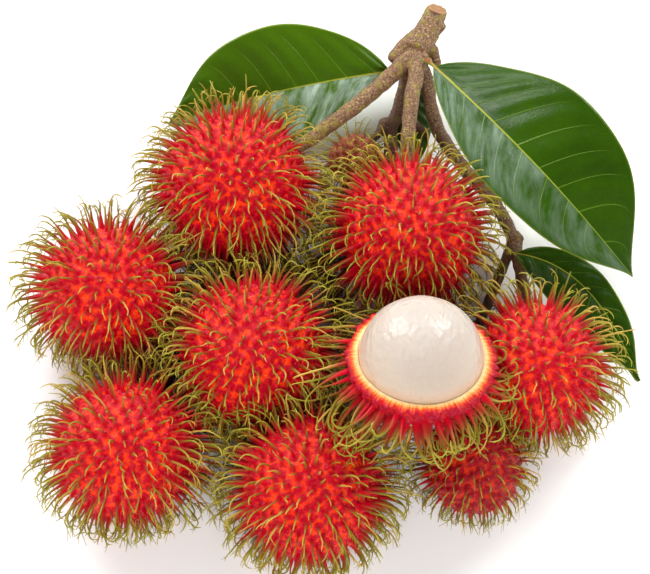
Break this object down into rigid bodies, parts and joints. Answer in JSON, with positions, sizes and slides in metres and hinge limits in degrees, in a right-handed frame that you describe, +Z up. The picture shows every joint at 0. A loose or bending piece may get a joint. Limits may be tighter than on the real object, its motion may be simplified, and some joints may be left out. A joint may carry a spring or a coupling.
{
  "type": "bunch of rambutan",
  "caption": "Picked bunch of hairy red tropical fruit on a cut twig with leaves, one fruit half peeled to show its white flesh; it lies on a surface.",
  "frame": {"origin": "middle of the bunch's outline, on the surface that it lies on", "axes": "+Z up from the surface, +Y towards the cut end of the twig, +X to the right seen from above with the twig at the top"},
  "size_m": [0.1918, 0.1934, 0.0638],
  "materials": {
    "rind": "crimson to orange-red leathery rind, soft spines that turn yellow-green towards their tips",
    "unripe_rind": "greenish yellow undeveloped rind with yellow-green soft spines",
    "flesh": "moist translucent white fruit flesh",
    "bark": "rough grey-brown bark with paler specks, pale cut end",
    "leaf": "waxy dark green blade with a yellow-green midrib and side veins"
  },
  "bodies": {
    "root": {"fruit_top_left": "rind", "fruit_left": "rind", "fruit_centre": "rind", "fruit_lower_left": "rind", "fruit_bottom": "rind", "fruit_top_right": "rind", "fruit_right": "rind", "fruit_lower_right": "rind", "fruit_small_back": "unripe_rind", "opened_rind": "rind", "opened_flesh": "flesh", "twig": "bark", "leaf_left": "leaf", "leaf_right": "leaf", "leaf_lower_right": "leaf", "leaf_small_back": "leaf"}
  },
  "joints": []
}
